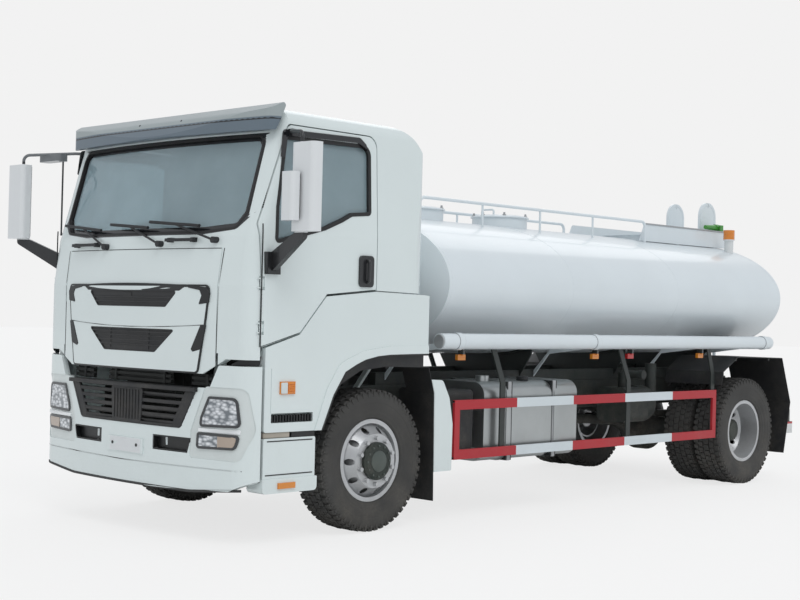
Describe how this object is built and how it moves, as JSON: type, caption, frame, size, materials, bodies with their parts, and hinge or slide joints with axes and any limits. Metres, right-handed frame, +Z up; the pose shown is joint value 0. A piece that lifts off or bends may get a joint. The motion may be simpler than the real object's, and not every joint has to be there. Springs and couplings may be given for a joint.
{
  "type": "tanker truck",
  "caption": "White forward-control water tank truck: tilting hollow cab, steered front wheels, twin rear wheels, oval tank on a ladder frame, manholes, side guards.",
  "frame": {"origin": "on the ground under the middle of the overall length and width", "axes": "+X to the vehicle left, +Y to its rear, +Z up; it faces -Y"},
  "size_m": [3.4006, 7.607, 3.0178],
  "materials": {
    "white_paint": "gloss",
    "tank_paint": "gloss",
    "frame_paint": "satin",
    "tyre": "matte",
    "rim_paint": "satin",
    "guard_paint": "gloss",
    "black_plastic": "matte",
    "grey_plastic": "satin",
    "lamp_lens": "clear",
    "amber_lens": "gloss",
    "window_glass": "tinted",
    "bare_steel": "brushed",
    "cast_iron": "matte",
    "fuel_metal": "satin",
    "interior_plastic": "matte",
    "seat_fabric": "woven",
    "green_paint": "gloss"
  },
  "bodies": {
    "chassis": {"front_axle_beam": "cast_iron", "frame_rails": "frame_paint", "frame_crossmembers": "frame_paint", "tank_cradle": "frame_paint", "cab_rest": "frame_paint", "leaf_springs": "frame_paint", "rear_axle": "cast_iron", "powertrain": "cast_iron", "tank": "tank_paint", "manhole_collars": "tank_paint", "tank_platform": "tank_paint", "side_tubes": "white_paint", "side_guards": "guard_paint", "fuel_tank": "fuel_metal", "equipment_boxes": "black_plastic", "water_pump": "frame_paint", "mudguards": "black_plastic", "step_panels": "white_paint", "front_bumper": "white_paint", "bumper_grille": "black_plastic", "headlamps": "lamp_lens", "marker_lamps": "amber_lens", "rear_bar": "frame_paint"},
    "cab": {"cab_shell": "white_paint", "windscreen": "window_glass", "front_panel": "white_paint", "cab_grilles": "black_plastic", "sun_visor": "grey_plastic", "wipers": "black_plastic", "dashboard": "interior_plastic", "seats": "seat_fabric"},
    "door_left": {"door_left": "white_paint", "door_glass_left": "window_glass", "mirror_left": "black_plastic"},
    "door_right": {"door_right": "white_paint", "door_glass_right": "window_glass", "mirror_right": "black_plastic"},
    "knuckle_left": {"knuckle_left": "cast_iron"},
    "knuckle_right": {"knuckle_right": "cast_iron"},
    "tie_rod": {"tie_rod": "frame_paint"},
    "wheel_front_left": {"tyre_front_left": "tyre", "rim_front_left": "rim_paint"},
    "wheel_front_right": {"tyre_front_right": "tyre", "rim_front_right": "rim_paint"},
    "wheels_rear_left": {"tyres_rear_left": "tyre", "rims_rear_left": "rim_paint"},
    "wheels_rear_right": {"tyres_rear_right": "tyre", "rims_rear_right": "rim_paint"},
    "lid_front": {"manhole_lid_front": "tank_paint"},
    "lid_rear": {"manhole_lid_rear": "tank_paint"},
    "cannon_swivel": {"cannon_swivel": "green_paint"},
    "cannon_barrel": {"cannon_barrel": "green_paint"}
  },
  "joints": [
    {"name": "cab_tilt", "type": "hinge", "parent": "chassis", "child": "cab", "pos_m": [0, -3.655, 0.8], "axis": [1, 0, 0], "range_deg": [0, 50]},
    {"name": "door_left_hinge", "type": "hinge", "parent": "cab", "child": "door_left", "pos_m": [1.224, -3.607, 2], "axis": [0, 0, -1], "range_deg": [0, 65]},
    {"name": "door_right_hinge", "type": "hinge", "parent": "cab", "child": "door_right", "pos_m": [-1.224, -3.607, 2], "axis": [0, 0, 1], "range_deg": [0, 65]},
    {"name": "steer_left", "type": "hinge", "parent": "chassis", "child": "knuckle_left", "pos_m": [0.93, -2.455, 0.522], "axis": [0, 0, 1], "range_deg": [-34, 34]},
    {"name": "steer_right", "type": "hinge", "parent": "chassis", "child": "knuckle_right", "pos_m": [-0.93, -2.455, 0.522], "axis": [0, 0, 1], "range_deg": [-34, 34]},
    {"name": "tie_rod_pivot", "type": "hinge", "parent": "knuckle_left", "child": "tie_rod", "pos_m": [0.93, -2.29, 0.405], "axis": [0, 0, 1], "range_deg": [-34, 34]},
    {"name": "wheel_front_left_spin", "type": "hinge", "parent": "knuckle_left", "child": "wheel_front_left", "pos_m": [1.03, -2.455, 0.522], "axis": [1, 0, 0], "continuous": true},
    {"name": "wheel_front_right_spin", "type": "hinge", "parent": "knuckle_right", "child": "wheel_front_right", "pos_m": [-1.03, -2.455, 0.522], "axis": [1, 0, 0], "continuous": true},
    {"name": "wheels_rear_left_spin", "type": "hinge", "parent": "chassis", "child": "wheels_rear_left", "pos_m": [0.9075, 2.745, 0.522], "axis": [1, 0, 0], "continuous": true},
    {"name": "wheels_rear_right_spin", "type": "hinge", "parent": "chassis", "child": "wheels_rear_right", "pos_m": [-0.9075, 2.745, 0.522], "axis": [1, 0, 0], "continuous": true},
    {"name": "lid_front_hinge", "type": "hinge", "parent": "chassis", "child": "lid_front", "pos_m": [0, -0.532, 2.524], "axis": [-1, 0, 0], "range_deg": [0, 100]},
    {"name": "lid_rear_hinge", "type": "hinge", "parent": "chassis", "child": "lid_rear", "pos_m": [0, 0.628, 2.524], "axis": [-1, 0, 0], "range_deg": [0, 100]},
    {"name": "cannon_swivel_turn", "type": "hinge", "parent": "chassis", "child": "cannon_swivel", "pos_m": [0.35, 3.545, 2.53], "axis": [0, 0, 1], "range_deg": [-20, 170]},
    {"name": "cannon_lift", "type": "hinge", "parent": "cannon_swivel", "child": "cannon_barrel", "pos_m": [0.35, 3.545, 2.6], "axis": [-1, 0, 0], "range_deg": [0, 60]}
  ],
  "couplings": [
    {"joint": "steer_right", "follows": "steer_left", "ratio": 1},
    {"joint": "tie_rod_pivot", "follows": "steer_left", "ratio": -1}
  ]
}
